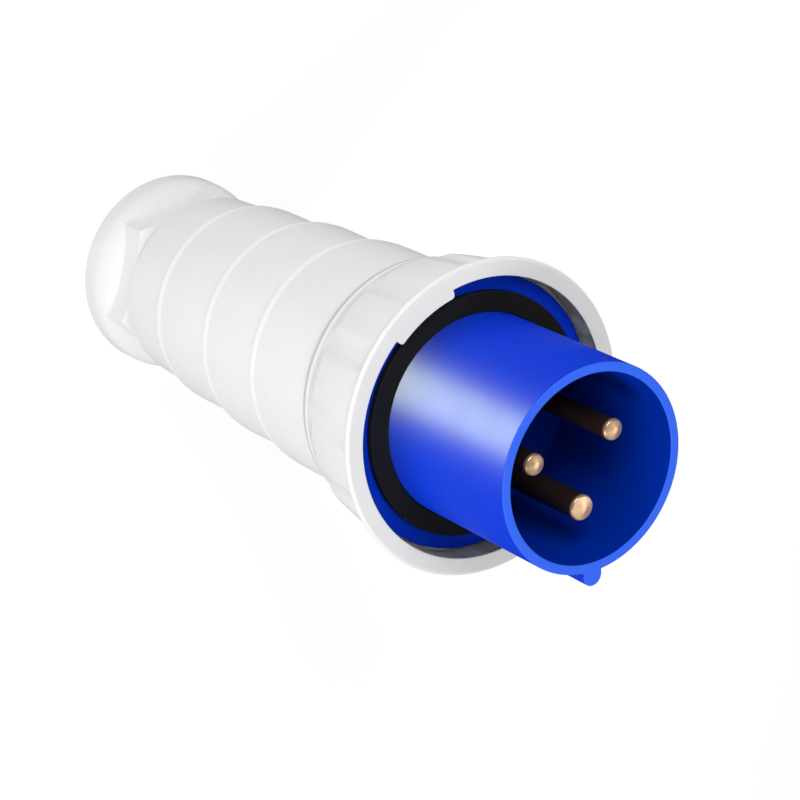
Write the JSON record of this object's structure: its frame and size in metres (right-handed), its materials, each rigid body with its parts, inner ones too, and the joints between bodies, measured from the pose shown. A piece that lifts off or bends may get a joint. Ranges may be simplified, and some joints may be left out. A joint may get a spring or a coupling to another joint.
{
  "type": "industrial pin and sleeve plug",
  "caption": "Watertight industrial pin and sleeve plug with a keyed contact sleeve, a bayonet coupling ring, a tiered housing and a cable gland nut.",
  "frame": {"origin": "centre of the gland nut's flat rear face, on which the plug stands", "axes": "+Z along the axis towards the pins and the mouth of the sleeve, -Y through the key rib"},
  "size_m": [0.1106, 0.1106, 0.268],
  "materials": {
    "blue_moulding": "satin",
    "white_moulding": "matte",
    "grey_moulding": "matte",
    "black_rubber": "matte",
    "brass": "satin",
    "plated_steel": "satin"
  },
  "bodies": {
    "plug": {"contact_sleeve": "blue_moulding", "earth_pin": "brass", "earth_terminal_screws": "plated_steel", "earth_wire_pad": "plated_steel", "face_gasket": "black_rubber", "gland_bush": "black_rubber", "gland_cage": "grey_moulding", "housing": "white_moulding", "insert_screws": "plated_steel", "insert_seal": "black_rubber", "live_pin": "brass", "live_terminal_screws": "plated_steel", "live_wire_pad": "plated_steel", "neutral_pin": "brass", "neutral_terminal_screws": "plated_steel", "neutral_wire_pad": "plated_steel", "pin_retainer": "grey_moulding", "retainer_screws": "plated_steel", "ring_slip_washer": "grey_moulding"},
    "coupling_ring": {"bayonet_ring": "white_moulding"},
    "gland_washer": {"thrust_washer": "grey_moulding"},
    "gland_nut": {"gland_nut": "white_moulding"}
  },
  "joints": [
    {"name": "ring_turn", "type": "hinge", "parent": "plug", "child": "coupling_ring", "pos_m": [0, 0, 0.19], "axis": [0, 0, 1], "range_deg": [0, 40]},
    {"name": "gland_travel", "type": "slide", "parent": "plug", "child": "gland_washer", "axis": [0, 0, -1], "range_m": [0, 0.006]},
    {"name": "gland_turn", "type": "hinge", "parent": "gland_washer", "child": "gland_nut", "pos_m": [0, 0, 0.014], "axis": [0, 0, -1], "range_deg": [0, 720]}
  ],
  "couplings": [
    {"joint": "gland_travel", "follows": "gland_turn", "m_per_rad": 0.00047746}
  ]
}
